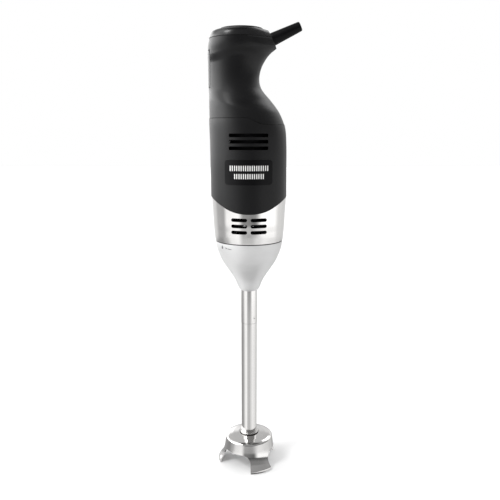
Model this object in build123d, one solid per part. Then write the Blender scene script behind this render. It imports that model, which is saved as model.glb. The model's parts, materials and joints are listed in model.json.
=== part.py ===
from build123d import *
import math
import os

os.makedirs("parts", exist_ok=True)

# Millimetres, +Z up. The origin is on the arm axis, in the plane the three feet stand on.
# +X points to the cord boot, -Y is the front.

# ---- driving dimensions: motor body and handle ------------------------------------------
# Outline rows of the plastic shell: height, left x, right x, widest x, half depth, nose power.
SHELL_ROWS = [
    (283.0, -39.4, 39.4, 0.0, 39.4, 0.50),
    (302.0, -39.8, 39.2, -0.2, 39.4, 0.50),
    (320.0, -39.8, 39.0, -0.4, 39.4, 0.50),
    (335.0, -40.1, 38.9, -0.6, 39.5, 0.50),
    (349.0, -40.2, 38.8, -0.7, 39.5, 0.50),
    (361.0, -40.4, 38.4, -1.0, 39.4, 0.50),
    (369.0, -40.7, 37.7, -1.5, 39.2, 0.50),
    (375.0, -40.8, 36.3, -2.2, 38.7, 0.50),
    (381.0, -40.9, 34.0, -3.5, 37.6, 0.50),
    (387.0, -41.0, 31.0, -5.2, 36.2, 0.50),
    (393.0, -41.1, 26.8, -7.2, 34.5, 0.50),
    (399.0, -41.1, 21.8, -9.6, 32.2, 0.50),
    (405.0, -41.2, 16.4, -12.0, 30.0, 0.50),
    (411.0, -41.4, 12.2, -14.2, 27.6, 0.50),
    (417.0, -41.5, 10.8, -15.2, 26.0, 0.50),
    (423.0, -41.5, 11.1, -15.2, 25.2, 0.50),
    (428.0, -41.6, 12.2, -15.0, 24.9, 0.50),
    (433.0, -41.6, 14.2, -14.6, 24.9, 0.50),
    (438.0, -41.7, 17.0, -14.0, 25.2, 0.50),
    (444.0, -41.7, 22.0, -13.0, 26.2, 0.55),
    (449.0, -41.6, 28.3, -12.0, 27.6, 0.70),
    (453.0, -41.2, 31.2, -11.5, 28.4, 0.90),
    (458.3, -40.4, 33.4, -11.0, 28.5, 1.00),
]
CAP_ROWS = [
    (458.4, -40.0, 33.0, -11.0, 28.1, 1.00),
    (461.6, -39.1, 31.0, -10.7, 27.2, 1.00),
    (464.3, -37.4, 25.5, -9.9, 25.8, 0.85),
    (465.9, -34.4, 18.5, -8.8, 24.0, 0.60),
    (466.6, -31.2, 15.4, -8.0, 23.0, 0.50),
]
CAP_FLOOR_Z = 463.7
CAP_FLOOR_UNDER_Z = 461.7
BODY_WALL = 2.6
HANDLE_INSET = 0.45
HANDLE_WALL = 2.6
SEAM_GAP = 0.15
CAP_SEAM_Z = 458.3
GRIP_SEAM_LEFT_Z = 380.3
GRIP_SEAM_RIGHT_Z = 374.0
SCALLOP = [
    (-50.0, 309.0), (-39.4, 301.3), (-36.0, 299.0), (-31.6, 296.0), (-27.6, 293.6),
    (-20.0, 289.6), (0.0, 286.0), (20.0, 289.6), (27.6, 293.6), (31.6, 296.0),
    (36.0, 299.0), (39.4, 301.3), (50.0, 309.0),
]
# The end face of the spout leans back; the cord boot leaves it at BOOT_TILT above level.
SPOUT_X = 27.5
SPOUT_Z = 448.9
SPOUT_TILT = 28.0
SPOUT_WALL = 3.0
BOOT_X = 23.2
BOOT_Z = 457.6
BOOT_TILT = 24.5
BOOT_LENGTH = 31.0
BOOT_R_BASE = 6.4
BOOT_R_TIP = 4.7
CORD_BORE_R = 3.9

# ---- driving dimensions: controls --------------------------------------------------------
DIAL_X = -7.6
DIAL_R = 21.5
DIAL_TOP_Z = 467.9
DIAL_UNDER_Z = 464.1
DIAL_SHAFT_R = 3.0
DIAL_SHAFT_TOP_Z = 466.2
PIN_X = -34.0
PIN_Z = 443.0
PIN_R = 1.5
TRIGGER_HALF_W = 9.9
TRIGGER_Z0 = 410.6
TRIGGER_Z1 = 446.0
TRIGGER_INSET = 0.3
# The lower edge of the trigger dips as it swings in, so its gap is the larger one.
WINDOW_GAP_LOW = 1.2
WINDOW_GAP_HIGH = 1.0
WINDOW_GAP_SIDE = 0.7
WINDOW_INNER_X = -33.5
SWITCH_Z = 430.0
HANDLE_SCREWS = [(-31.0, 390.0), (16.0, 386.0), (2.0, 424.0), (-30.0, 452.5)]
CAP_SCREW_OFFSET = 9.5
CAP_SCREW_SEAT_Z = 462.2

# ---- driving dimensions: steel housing and lock ------------------------------------------
STEEL_OUTER = [
    (35.4, 254.9), (36.3, 260.0), (36.8, 267.0), (37.3, 273.0), (37.6, 280.0),
    (37.9, 286.0), (38.3, 292.0), (38.7, 299.0), (38.9, 304.0),
]
STEEL_VENT_Z = [267.6, 273.9, 280.2]
SHELL_VENT_Z = [351.2, 357.5, 363.6]
SHELL_VENT_X = (-19.8, 18.9)
SHELL_VENT_HEIGHT = 3.5
LINER_R = 36.3
LOCK_R_IN = 31.8
LOCK_R_OUT = 34.0
LUG_DEG = 24.0
TWIST_DEG = 30.0
LUG_ANGLES = [10.0, 130.0, 250.0]

# ---- driving dimensions: motor -----------------------------------------------------------
MOTOR_SHAFT_R = 4.0
BEARING_R = 11.0
RUN_GAP = 0.05
BRUSH_Z = 344.0
COMMUTATOR_R = 11.0
MOTOR_SCREW_R = 30.5
BAFFLE_R = 23.6

# ---- driving dimensions: arm -------------------------------------------------------------
CONE_OUTER = [
    (8.66, 199.7), (9.4, 200.0), (10.7, 201.6), (13.35, 207.8), (16.7, 214.5), (21.05, 221.1),
    (25.5, 227.7), (29.4, 234.3), (32.1, 240.8), (34.3, 247.4), (35.2, 254.0),
]
SLEEVE_R = 8.65
TUBE_R = 8.45
TUBE_BORE_R = 7.0
TUBE_SEAM_Z = 163.0
DRIVE_R = 3.0
DOG_R = 12.0
BELL_OUTER = [
    (26.2, 28.6), (26.8, 23.0), (27.7, 17.0), (29.5, 11.0), (31.6, 7.0), (33.6, 4.6), (34.5, 3.2),
]
BELL_INNER = [
    (32.4, 1.6), (31.6, 4.0), (30.0, 7.0), (27.9, 11.4), (26.1, 17.0), (25.2, 23.0), (24.4, 27.4),
]
ARCH_TOP_Z = 18.0
ARCH_HALF_DEG = 39.0
ARCH_CORNER_R = 8.5
LEG_ANGLES = [-66.0, 54.0, 174.0]


# ---- small helpers -----------------------------------------------------------------------
def block(x0, x1, y0, y1, z0, z1):
    """Box given by its limits."""
    centre = Pos((x0 + x1) / 2, (y0 + y1) / 2, (z0 + z1) / 2)
    return centre * Box(x1 - x0, y1 - y0, z1 - z0)


def disc(radius, z0, z1, x=0.0, y=0.0):
    """Upright solid cylinder."""
    return Pos(x, y, (z0 + z1) / 2) * Cylinder(radius, z1 - z0)


def ring(r_out, r_in, z0, z1, x=0.0, y=0.0):
    """Upright tube."""
    return disc(r_out, z0, z1, x, y) - disc(r_in, z0 - 1, z1 + 1, x, y)


def rod(start, end, radius):
    """Cylinder from one point to another."""
    a = Vector(*start)
    b = Vector(*end)
    plane = Plane(origin=a, z_dir=b - a)
    stock = Cylinder(radius, (b - a).length, align=(Align.CENTER, Align.CENTER, Align.MIN))
    return plane * stock


def lathe(*curves):
    """Closed outline in the XZ plane turned about the Z axis."""
    edges = [edge for curve in curves for edge in curve.edges()]
    return revolve(make_face(edges), axis=Axis.Z)


def turned(points):
    """Straight-sided outline of (radius, z) points turned about the Z axis."""
    return lathe(Polyline(*[(r, 0, z) for r, z in points], close=True))


def curve_xz(points):
    """Smooth curve through (radius, z) points."""
    return Spline(*[(r, 0, z) for r, z in points])


def line_xz(points):
    """Straight run through (radius, z) points."""
    return Polyline(*[(r, 0, z) for r, z in points])


def sector(r_in, r_out, start_deg, sweep_deg, z0, z1):
    """Part of an upright ring between two angles."""
    profile = Polyline(
        (r_in, 0, z0), (r_out, 0, z0), (r_out, 0, z1), (r_in, 0, z1), close=True
    )
    stock = revolve(make_face(profile.edges()), axis=Axis.Z, revolution_arc=sweep_deg)
    return Rot(0, 0, start_deg) * stock


def total(shapes):
    """Union of a list of shapes."""
    result = shapes[0]
    for shape in shapes[1:]:
        result = result + shape
    return result


def group(shapes):
    """Separate solids that share one node."""
    solids = [solid for shape in shapes for solid in shape.solids()]
    return Compound(children=solids)


def coil(radius, wire_r, pitch, height):
    """Helical spring standing on the origin."""
    path = Helix(pitch, height, radius)
    section = Plane(origin=path @ 0, z_dir=path % 0) * Circle(wire_r)
    return sweep(section, path=path)


def save(shape, name):
    """Write one node."""
    export_step(shape, "parts/" + name + ".step")


# ---- outer surface -----------------------------------------------------------------------
def egg_wire(row, inset):
    """Closed section of the shell at one height: half ellipse left, nose on the right."""
    z, left, right, mid, depth, power = row
    count = 28
    points = []
    for i in range(count):
        angle = 2 * math.pi * i / count
        c = math.cos(angle)
        s = math.sin(angle)
        reach = right - inset - mid if c >= 0 else mid - left - inset
        bend = 2 * power if c > 0 else 1.0
        y = (depth - inset) * math.copysign(abs(s) ** bend, s)
        points.append(Vector(mid + reach * c, y, z))
    return Wire([Edge.make_spline(points, periodic=True)])


def egg_solid(rows, inset):
    """Loft through every section."""
    return Part() + Solid.make_loft([egg_wire(row, inset) for row in rows])


def row_at(z):
    """Section values between two rows."""
    for low, high in zip(SHELL_ROWS, SHELL_ROWS[1:]):
        if low[0] <= z <= high[0]:
            f = (z - low[0]) / (high[0] - low[0])
            return [a + (b - a) * f for a, b in zip(low, high)]
    return list(SHELL_ROWS[-1])


def even_rows(z0, z1, step):
    """Sections at an even spacing, so the loft stays free of ripples."""
    count = round((z1 - z0) / step)
    return [row_at(z0 + (z1 - z0) * i / count) for i in range(count + 1)]


def half_depth(x, z):
    """Distance of the handle surface from the split plane at one place."""
    z, left, right, mid, depth, power = row_at(z)
    reach = right - mid if x > mid else mid - left
    c = min(0.999, abs(x - mid) / reach)
    s = math.sqrt(1 - c * c)
    bend = 2 * power if x > mid else 1.0
    return depth * s ** bend - HANDLE_INSET


def beyond_spout(shift):
    """Everything past the leaning end face, moved inwards by shift."""
    tilt = math.radians(SPOUT_TILT)
    normal = Vector(math.cos(tilt), 0, math.sin(tilt))
    origin = Vector(SPOUT_X, 0, SPOUT_Z) - normal * shift
    plane = Plane(origin=origin, z_dir=normal)
    return plane * Box(160, 160, 80, align=(Align.CENTER, Align.CENTER, Align.MIN))


def below_line(points, shift):
    """Everything under a line drawn in the XZ plane."""
    top = Spline(*[(x, 0, z + shift) for x, z in points])
    return under_edges([top], points[0], points[-1], shift)


def under_edges(edges, first, last, shift):
    """Close a top line down to a low floor and run it through Y."""
    floor = 200.0
    right = Line((last[0], 0, last[1] + shift), (last[0], 0, floor))
    base = Line((last[0], 0, floor), (first[0], 0, floor))
    left = Line((first[0], 0, floor), (first[0], 0, first[1] + shift))
    outline = [e for curve in [*edges, right, base, left] for e in curve.edges()]
    return extrude(make_face(outline), amount=60, dir=(0, 1, 0), both=True)


def below_grip_seam(shift):
    """Everything under the stepped seam between the body shell and the handle."""
    high = GRIP_SEAM_LEFT_Z + shift
    low = GRIP_SEAM_RIGHT_Z + shift
    left = Line((-60, 0, high), (-4.6, 0, high))
    step = Spline((-4.6, 0, high), (5.4, 0, (high + low) / 2), (15.5, 0, low),
                  tangents=[(1, 0, 0), (1, 0, -0.55), (1, 0, 0)])
    right = Line((15.5, 0, low), (60, 0, low))
    return under_edges([left, step, right], (-60, GRIP_SEAM_LEFT_Z), (60, GRIP_SEAM_RIGHT_Z), shift)


def boot_point(s, across=0.0):
    """Point on the cord boot axis, s from the spout face, across towards its upper side."""
    tilt = math.radians(BOOT_TILT)
    x = BOOT_X + s * math.cos(tilt) - across * math.sin(tilt)
    z = BOOT_Z + s * math.sin(tilt) + across * math.cos(tilt)
    return (x, 0, z)


# ---- body shell --------------------------------------------------------------------------
def slot(x0, x1, z, height, y0, y1):
    """Round-ended slot running along Y."""
    r = height / 2
    bar = block(x0 + r, x1 - r, y0, y1, z - r, z + r)
    ends = rod((x0 + r, y0, z), (x0 + r, y1, z), r) + rod((x1 - r, y0, z), (x1 - r, y1, z), r)
    return bar + ends


def shell_vent(z, y0, y1):
    """Long cooling slot with tight corners."""
    half = SHELL_VENT_HEIGHT / 2
    opening = block(SHELL_VENT_X[0], SHELL_VENT_X[1], y0, y1, z - half, z + half)
    return fillet(opening.edges().filter_by(Axis.Y), 0.7)


def body_shell():
    rows = even_rows(283.0, 387.0, 8.0)
    shell = egg_solid(rows, 0.0) - egg_solid(rows, BODY_WALL)
    shell = shell - below_line(SCALLOP, SEAM_GAP)
    shell = shell & below_grip_seam(0.0)
    for z in SHELL_VENT_Z:
        shell = shell - shell_vent(z, -60, -20)
        shell = shell - shell_vent(z, 20, 60)
    return shell


def label_plate():
    rows = even_rows(283.0, 387.0, 8.0)
    skin = egg_solid(rows, -0.4) - egg_solid(rows, -0.02)
    window = block(-24.0, 23.2, -60, -10, 315.4, 340.0)
    edges = window.edges().filter_by(Axis.Y)
    return skin & fillet(edges, 3.0)


# ---- handle ------------------------------------------------------------------------------
def handle_skin():
    """Hollow handle, open at the cap and at the body shell."""
    rows = even_rows(361.0, CAP_SEAM_Z, 4.9)
    outer = egg_solid(rows, HANDLE_INSET) - beyond_spout(0.0)
    cavity = egg_solid(rows, HANDLE_INSET + HANDLE_WALL) - beyond_spout(SPOUT_WALL)
    spigot = egg_solid(rows, BODY_WALL + 0.3) - egg_solid(rows, BODY_WALL + 2.2)
    spigot = spigot & block(-60, 60, -60, 60, 366, 384)
    cut = below_grip_seam(SEAM_GAP * 2)
    skin = (outer - cavity) - cut
    skin = skin + spigot
    top = block(-80, 80, -80, 80, CAP_SEAM_Z - SEAM_GAP, 480)
    return skin - top, outer - top


def screw_bosses():
    """Posts the handle screws run through."""
    posts = []
    for x, z in HANDLE_SCREWS:
        posts.append(rod((x, -50, z), (x, 0, z), 3.4))
        posts.append(rod((x, 0, z), (x, 50, z), 4.3))
    return total(posts)


def cap_posts():
    """Posts that take the cap screws, each tied to the wall by a rib."""
    posts = []
    d = CAP_SCREW_OFFSET
    for sx in (-1, 1):
        for sy in (-1, 1):
            x = DIAL_X + sx * d
            posts.append(disc(3.0, 449, 458.1, x, sy * d))
            posts.append(block(x - 1, x + 1, min(sy * d, sy * 40), max(sy * d, sy * 40), 449, 456))
    return total(posts)


def trigger_bearers():
    """Cheeks that hold the ends of the trigger pin."""
    cheeks = []
    for sy in (-1, 1):
        low = min(sy * 10.9, sy * 14.0)
        high = max(sy * 10.9, sy * 14.0)
        cheeks.append(block(-45, -30.5, low, high, 439.5, 446.5))
    return total(cheeks)


def clamp_ribs():
    """Ribs the cord clamp is screwed to."""
    front = block(8, 14, -40, -5.5, 442.5, 446.5)
    rear = block(8, 14, 5.5, 40, 442.5, 446.5)
    return front + rear


def switch_ribs():
    """Shelves that hold the microswitch between the two halves."""
    front = block(-29, -15, -40, -5.2, 419, 421)
    rear = block(-29, -15, 5.2, 40, 419, 421)
    low = block(-29, -15, -40, -5.2, 436, 438)
    lower = block(-29, -15, 5.2, 40, 436, 438)
    return front + rear + low + lower


def handle_cuts():
    """Openings shared by both halves."""
    half = TRIGGER_HALF_W + WINDOW_GAP_SIDE
    low = TRIGGER_Z0 - WINDOW_GAP_LOW
    high = TRIGGER_Z1 + WINDOW_GAP_HIGH
    window = block(-60, WINDOW_INNER_X, -half, half, low, high)
    cord = rod(boot_point(-12), boot_point(12), BOOT_R_BASE)
    flange = rod(boot_point(-9), boot_point(-3), 8.6)
    pin = rod((PIN_X, -13, PIN_Z), (PIN_X, 13, PIN_Z), PIN_R)
    return window + cord + flange + pin


def screw_cuts():
    cuts = []
    for x, z in HANDLE_SCREWS:
        y = half_depth(x, z)
        cuts.append(rod((x, -y + 6, z), (x, y, z), 1.5))
        cuts.append(rod((x, y - 4.2, z), (x, y + 10, z), 3.1))
    d = CAP_SCREW_OFFSET
    for sx in (-1, 1):
        for sy in (-1, 1):
            cuts.append(disc(1.3, 450, 470, DIAL_X + sx * d, sy * d))
    for sy in (-1, 1):
        cuts.append(disc(1.3, 443.5, 452, 11, sy * 8.5))
    return total(cuts)


def handle_halves():
    skin, outer = handle_skin()
    inner = screw_bosses() + cap_posts() + trigger_bearers() + clamp_ribs() + switch_ribs()
    whole = skin + (inner & outer)
    whole = whole - handle_cuts()
    whole = whole - screw_cuts()
    front = whole & block(-80, 80, -80, -0.03, 350, 480)
    rear = whole & block(-80, 80, 0.03, 80, 350, 480)
    return front, rear


def screw(x, y, z, length, radius, head_r, head_h, direction):
    """Pan-head screw; (x, y, z) is the underside of the head, direction the way it points."""
    d = Vector(*direction)
    a = Vector(x, y, z)
    tip = a + d * length
    back = a - d * head_h
    shank = rod((a.X, a.Y, a.Z), (tip.X, tip.Y, tip.Z), radius)
    head = rod((a.X, a.Y, a.Z), (back.X, back.Y, back.Z), head_r)
    socket_end = a - d * (head_h * 0.4)
    far = a - d * (head_h + 1)
    drive = rod((socket_end.X, socket_end.Y, socket_end.Z), (far.X, far.Y, far.Z), head_r * 0.45)
    return shank + head - drive


def handle_screws():
    screws = []
    for x, z in HANDLE_SCREWS:
        y = half_depth(x, z)
        screws.append(screw(x, y - 4.2, z, 2 * y - 11.0, 1.5, 2.9, 2.0, (0, -1, 0)))
    return group(screws)


# ---- cap, dial and potentiometer ---------------------------------------------------------
def top_cap():
    outer = egg_solid(CAP_ROWS, 0.0) - beyond_spout(0.0)
    cavity = egg_solid(CAP_ROWS, 2.4) - beyond_spout(SPOUT_WALL)
    cavity = cavity - block(-80, 80, -80, 80, CAP_FLOOR_UNDER_Z, 480)
    cap = outer - cavity
    cap = cap - disc(DIAL_R + 0.4, CAP_FLOOR_Z, 475, DIAL_X)
    cap = cap - disc(4.6, 460, 470, DIAL_X)
    cap = cap - rod(boot_point(-12), boot_point(14), BOOT_R_BASE)
    cap = cap - rod(boot_point(-9), boot_point(-3), 8.6)
    d = CAP_SCREW_OFFSET
    for sx in (-1, 1):
        for sy in (-1, 1):
            x = DIAL_X + sx * d
            cap = cap + disc(3.0, 458.4, CAP_FLOOR_Z, x, sy * d)
            cap = cap - disc(1.3, 450, 470, x, sy * d)
            cap = cap - disc(2.5, CAP_SCREW_SEAT_Z, 470, x, sy * d)
    return cap


def cap_screws():
    screws = []
    d = CAP_SCREW_OFFSET
    for sx in (-1, 1):
        for sy in (-1, 1):
            screws.append(screw(DIAL_X + sx * d, sy * d, CAP_SCREW_SEAT_Z, 12, 1.3, 2.3, 1.4, (0, 0, -1)))
    return group(screws)


def speed_dial():
    knob = disc(DIAL_R, DIAL_UNDER_Z, DIAL_TOP_Z, DIAL_X)
    knob = fillet(knob.edges().group_by(Axis.Z)[-1], 0.6)
    knob = knob - disc(DIAL_SHAFT_R, 460, DIAL_SHAFT_TOP_Z, DIAL_X)
    knob = knob - block(DIAL_X - 1.0, DIAL_X + 1.0, -DIAL_R + 1.6, -8.0, DIAL_TOP_Z - 0.6, 480)
    reach = DIAL_R + 0.3
    for i in range(36):
        a = math.radians(10 * i)
        knob = knob - disc(0.6, 460, 480, DIAL_X + reach * math.cos(a), reach * math.sin(a))
    return knob


def potentiometer():
    body = disc(8.0, 452, 460.5, DIAL_X) + disc(4.3, 460.5, CAP_FLOOR_Z, DIAL_X)
    tabs = block(DIAL_X - 6, DIAL_X + 6, 7.0, 12.0, 453.5, 454.5)
    bore = disc(3.05, 459, 470, DIAL_X)
    return body + tabs - bore


def potentiometer_shaft():
    return disc(DIAL_SHAFT_R, 459.4, DIAL_SHAFT_TOP_Z, DIAL_X)


# ---- trigger and switch ------------------------------------------------------------------
def trigger():
    rows = even_rows(400.0, 455.0, 5.0)
    skin = egg_solid(rows, TRIGGER_INSET) - egg_solid(rows, TRIGGER_INSET + 2.4)
    face = block(-60, -37.0, -TRIGGER_HALF_W, TRIGGER_HALF_W, TRIGGER_Z0, TRIGGER_Z1)
    paddle = skin & face
    web = block(-39.6, PIN_X, -8.5, 8.5, PIN_Z - 2.6, PIN_Z + 2.2)
    eye = rod((PIN_X, -8.5, PIN_Z), (PIN_X, 8.5, PIN_Z), 2.9)
    nose = block(-39.6, -32.5, -2.2, 2.2, SWITCH_Z - 2.0, SWITCH_Z + 2.0)
    lug = (web + eye) - block(-38.2, -20, -4.6, 4.6, PIN_Z - 6, PIN_Z + 6)
    result = paddle + lug + nose
    return result - rod((PIN_X, -20, PIN_Z), (PIN_X, 20, PIN_Z), PIN_R + RUN_GAP)


def trigger_pin():
    return rod((PIN_X, -13, PIN_Z), (PIN_X, 13, PIN_Z), PIN_R)


def trigger_spring():
    """Torsion coil round the pin with a leg against the trigger."""
    body = Pos(PIN_X, -3.6, PIN_Z) * Rot(-90, 0, 0) * coil(2.3, 0.4, 1.1, 7.2)
    return body


def microswitch():
    body = block(-30.0, -14.0, -5.1, 5.1, 416.0, 442.0)
    body = body - block(-31.0, -28.2, -2.3, 2.3, SWITCH_Z - 2.1, SWITCH_Z + 2.1)
    tabs = total([block(-14.0, -8.0, -2.4, 2.4, z, z + 0.8) for z in (418.5, 428.5, 438.5)])
    holes = rod((-20, -20, 419.8), (-20, 20, 419.8), 1.5) + rod((-20, -20, 438.5), (-20, 20, 438.5), 1.5)
    return body + tabs - holes


def switch_plunger():
    stem = block(-32.1, -30.6, -1.6, 1.6, SWITCH_Z - 1.5, SWITCH_Z + 1.5)
    return fillet(stem.edges().group_by(Axis.X)[0], 0.5)


# ---- electronics and cord entry ----------------------------------------------------------
def control_board():
    board = block(-22.0, 6.0, 12.0, 13.6, 382.0, 404.0)
    holes = [rod((x, 5, z), (x, 20, z), 1.2) for x in (-19.5, 3.5) for z in (384.5, 401.5)]
    return board - total(holes)


def board_components():
    cap = rod((-15.0, 12.0, 393.0), (-15.0, 0.0, 393.0), 5.0)
    choke = block(-7.5, 1.0, 3.0, 12.0, 387.0, 397.0)
    triac = block(-7.0, 1.5, 8.0, 12.0, 398.5, 402.5)
    sink = block(-4.0, 0.0, 13.6, 19.0, 385.0, 399.0)
    return group([cap, choke, triac, sink])


def cord_boot():
    """Strain relief held in the spout wall by an inner flange, open for the cord."""
    plane = Plane(origin=boot_point(0), z_dir=Vector(*boot_point(1)) - Vector(*boot_point(0)))
    outline = [
        (CORD_BORE_R, -6.0), (8.4, -6.0), (8.4, -3.2), (BOOT_R_BASE, -3.2),
        (BOOT_R_BASE, 2.0), (BOOT_R_TIP + 0.1, BOOT_LENGTH - 1.0),
        (BOOT_R_TIP - 0.4, BOOT_LENGTH), (CORD_BORE_R, BOOT_LENGTH),
    ]
    return plane * turned(outline)


def cord_clamp():
    bar = block(8, 14, -11.5, 11.5, 446.5, 448.7)
    bar = bar - rod((0, 0, 446.0), (20, 0, 446.0), 3.9)
    for sy in (-1, 1):
        bar = bar - disc(1.3, 440, 455, 11, sy * 8.5)
    return bar + (rod((8, 0, 447.6), (14, 0, 447.6), 5.0) & block(0, 20, -5, 5, 448.0, 452.0)) \
        - rod((0, 0, 446.0), (20, 0, 446.0), 3.9)


def cord_clamp_screws():
    return group([screw(11, sy * 8.5, 448.7, 5.0, 1.3, 2.4, 1.5, (0, 0, -1)) for sy in (-1, 1)])


def wiring():
    """Insulated leads inside the handle and down to the motor."""
    runs = [
        [(5, -4, 446), (-3, -8.5, 439), (-6, -9, 430), (-7, -9, 420), (-7, -9, 410), (-8, -8, 399),
         (-12, -11, 385), (-18, -16, 372), (-20, -18, 361)],
        [(5, 4, 446), (-3, 8.5, 439), (-6, 9, 430), (-7.5, 9, 420), (-10, 9.5, 410), (-11, 10.6, 401)],
    ]
    leads = []
    for points in runs:
        path = Spline(*points)
        section = Plane(origin=path @ 0, z_dir=path % 0) * Circle(1.1)
        leads.append(sweep(section, path=path))
    return group(leads)


# ---- steel housing -----------------------------------------------------------------------
def steel_housing():
    outer = curve_xz(STEEL_OUTER)
    rest = line_xz([
        (38.9, 304.0), (35.2, 304.0), (35.2, 284.0), (35.0, 284.0), (35.0, 265.6),
        (34.0, 265.6), (34.0, 254.9), (35.4, 254.9),
    ])
    wall = lathe(outer, rest) & below_line(SCALLOP, -SEAM_GAP)
    wall = wall + ring(LINER_R, 35.2, 284.0, 312.0)
    for z in STEEL_VENT_Z:
        for y0, y1 in ((-60, -20), (20, 60)):
            wall = wall - slot(-17.9, -1.9, z, 3.65, y0, y1)
            wall = wall - slot(1.6, 17.9, z, 3.65, y0, y1)
    return wall


def lock_ring():
    """Fixed half of the quarter-turn lock: a pocket and an entry slot for each lug."""
    body = ring(LOCK_R_OUT, LOCK_R_IN, 255.2, 265.6)
    for a in LUG_ANGLES:
        start = a - LUG_DEG / 2 - 1.0
        sweep_deg = LUG_DEG + TWIST_DEG + 2.0
        body = body - sector(30.0, 36.0, start, sweep_deg, 258.6, 262.4)
        entry = a + TWIST_DEG - LUG_DEG / 2 - 1.0
        body = body - sector(30.0, 36.0, entry, LUG_DEG + 2.0, 250.0, 260.0)
    return body


# ---- motor -------------------------------------------------------------------------------
def spider(angles, width, reach, z0, z1):
    """Radial arms of a motor bracket."""
    arms = []
    for a in angles:
        arms.append(Rot(0, 0, a) * block(BEARING_R + 1, reach, -width / 2, width / 2, z0, z1))
    return total(arms)


def motor_screw_points():
    return [(MOTOR_SCREW_R * math.cos(math.radians(a)), MOTOR_SCREW_R * math.sin(math.radians(a)))
            for a in (45, 225)]


def drill(shape, radius, z0, z1):
    for x, y in motor_screw_points():
        shape = shape - disc(radius, z0, z1, x, y)
    return shape


def lower_bracket():
    hub = ring(BEARING_R + 2.5, BEARING_R, 262.0, 270.0)
    arms = spider((45, 135, 225, 315), 10.0, 36.0, 266.0, 269.0) & disc(35.0, 260, 275)
    lip = ring(BEARING_R + 2.5, BEARING_R - 2.5, 260.8, 262.0)
    return drill(hub + arms + lip, 1.9, 260, 275)


def upper_bracket():
    hub = ring(BEARING_R + 2.5, BEARING_R, 353.0, 362.0) + disc(BEARING_R + 2.5, 362.0, 364.0)
    arms = spider((45, 135, 225, 315), 10.0, 37.0, 353.0, 356.0) & disc(35.6, 350, 360)
    seats = spider((90, 270), 9.0, 24.0, 353.0, 356.0)
    baffle = ring(BAFFLE_R, BAFFLE_R - 1.5, 349.0, 366.4)
    return drill(hub + arms + seats + baffle, 1.9, 350, 360)


def ball_bearing(r_out, r_in, z0, z1):
    """Bearing as one ring with the gap between its races shown as a groove."""
    body = ring(r_out, r_in, z0, z1)
    mid = (r_out + r_in) / 2
    for a, b in ((z0 - 1, z0 + 0.6), (z1 - 0.6, z1 + 1)):
        body = body - ring(mid + 1.2, mid - 1.2, a, b)
    return body


def motor_shaft():
    return disc(MOTOR_SHAFT_R, 250.0, 361.0)


def armature_core():
    body = ring(17.0, MOTOR_SHAFT_R, 294, 330)
    for i in range(12):
        a = math.radians(30 * i)
        body = body - disc(1.9, 290, 335, 14.0 * math.cos(a), 14.0 * math.sin(a))
        body = body - Rot(0, 0, 30 * i) * block(14.0, 18.0, -0.7, 0.7, 290, 335)
    return body


def armature_winding():
    """End turns above and below the core, joined by the wire in each slot."""
    low = turned([(6.0, 294), (6.0, 290), (9.0, 287), (14.0, 287), (15.6, 290), (15.6, 294)])
    high = turned([(6.0, 330), (6.0, 334), (9.0, 336.6), (14.0, 336.6), (15.6, 334), (15.6, 330)])
    bars = []
    for i in range(12):
        a = math.radians(30 * i)
        bars.append(disc(1.85, 293.5, 330.5, 14.0 * math.cos(a), 14.0 * math.sin(a)))
    return low + high + total(bars)


def commutator():
    body = ring(COMMUTATOR_R, MOTOR_SHAFT_R, 339.0, 350.5) + ring(COMMUTATOR_R + 1.2, MOTOR_SHAFT_R, 337.0, 339.0)
    for i in range(24):
        body = body - Rot(0, 0, 15 * i) * block(10.0, 13.0, -0.25, 0.25, 336, 352)
    return body


def cooling_fan():
    hub = ring(8.0, MOTOR_SHAFT_R, 271.5, 284.0)
    plate = ring(27.0, MOTOR_SHAFT_R, 282.5, 284.0)
    blades = []
    for i in range(9):
        blades.append(Rot(0, 0, 40 * i) * Pos(16.5, 0, 277.5) * Rot(0, 0, 18) * Box(19.5, 1.4, 11.0))
    body = hub + plate + total(blades)
    return body - disc(MOTOR_SHAFT_R, 260, 290)


def stator_core():
    body = ring(33.0, 28.0, 292, 332)
    for a in (0, 180):
        neck = Rot(0, 0, a) * block(18.5, 29.0, -8.0, 8.0, 292, 332)
        shoe = Rot(0, 0, a) * sector(17.5, 20.0, -55, 110, 292, 332)
        body = body + ((neck - disc(17.5, 280, 340)) + shoe)
    return drill(body, 1.9, 280, 340)


def field_coils():
    coils = []
    for a in (0, 180):
        loop = block(20.5, 24.0, -13.5, 13.5, 286.5, 337.5) - block(15, 30, -8.0, 8.0, 292.0, 332.0)
        loop = fillet(loop.edges().filter_by(Axis.X).group_by(Axis.Z)[0], 4.0)
        loop = fillet(loop.edges().filter_by(Axis.X).group_by(Axis.Z)[-1], 4.0)
        coils.append(Rot(0, 0, a) * loop)
    return group(coils)


def brush_holders():
    holders = []
    for sign in (-1, 1):
        near = 13.0 * sign
        far = 33.0 * sign
        tube = block(-4.6, 4.6, min(near, far), max(near, far), BRUSH_Z - 4.1, BRUSH_Z + 4.1)
        pocket_far = 32.0 * sign
        start = 10.0 * sign
        tube = tube - block(-3.3, 3.3, min(start, pocket_far), max(start, pocket_far), BRUSH_Z - 2.8, BRUSH_Z + 2.8)
        post = block(-4.0, 4.0, min(15 * sign, 20.8 * sign), max(15 * sign, 20.8 * sign), BRUSH_Z + 3.9, 353.0)
        holders.append(tube + post)
    return group(holders)


def brush(sign):
    near = (COMMUTATOR_R + 0.3) * sign
    far = 24.0 * sign
    body = block(-3.0, 3.0, min(near, far), max(near, far), BRUSH_Z - 2.5, BRUSH_Z + 2.5)
    return body


def brush_spring(sign):
    body = coil(2.0, 0.3, 1.2, 5.4)
    return Pos(0, 24.3 * sign, BRUSH_Z) * Rot(-90 * sign, 0, 0) * body


def motor_screws():
    return group([screw(x, y, 356.0, 90.0, 1.9, 3.6, 2.6, (0, 0, -1)) for x, y in motor_screw_points()])


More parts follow.
